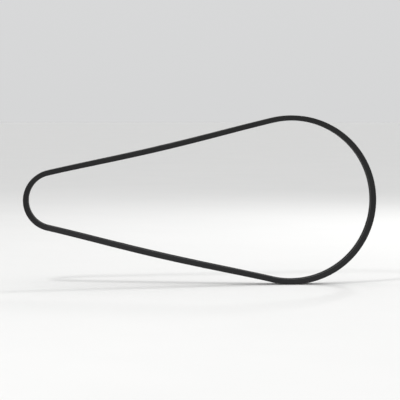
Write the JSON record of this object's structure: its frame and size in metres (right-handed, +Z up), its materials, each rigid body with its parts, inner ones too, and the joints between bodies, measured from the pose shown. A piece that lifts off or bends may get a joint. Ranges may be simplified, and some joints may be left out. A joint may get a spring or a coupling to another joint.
{
  "type": "v belt",
  "caption": "Wrapped V belts side by side in their running loop round a large flywheel and a small motor sheave: fabric cover, cushioned cords and wedge-shaped rubber core.",
  "frame": {"origin": "on the axis of the arc that lies on the flywheel, midway between the front and the rear belt", "axes": "+X from the motor sheave towards the flywheel, +Y along the sheave axes from the front belt to the rear belt, +Z up"},
  "size_m": [0.7668, 0.036, 0.3682],
  "materials": {
    "cover_fabric": "matte rubber-impregnated bias weave",
    "inner_fabric": "matte rubber-impregnated bias weave",
    "body_rubber": "matte black rubber",
    "cushion_rubber": "matte dark brown adhesion rubber",
    "tension_cord": "dipped twisted polyester cord"
  },
  "bodies": {
    "front_belt": {"front_outer_cover": "cover_fabric", "front_inner_cover": "inner_fabric", "front_top_rubber": "body_rubber", "front_upper_cushion": "cushion_rubber", "front_s_twist_cord": "tension_cord", "front_z_twist_cord": "tension_cord", "front_lower_cushion": "cushion_rubber", "front_base_rubber": "body_rubber"},
    "rear_belt": {"rear_outer_cover": "cover_fabric", "rear_inner_cover": "inner_fabric", "rear_top_rubber": "body_rubber", "rear_upper_cushion": "cushion_rubber", "rear_s_twist_cord": "tension_cord", "rear_z_twist_cord": "tension_cord", "rear_lower_cushion": "cushion_rubber", "rear_base_rubber": "body_rubber"}
  },
  "joints": [
    {"name": "rear_belt_removal", "type": "slide", "parent": "front_belt", "child": "rear_belt", "axis": [0, 1, 0], "range_m": [0, 0.04]}
  ]
}
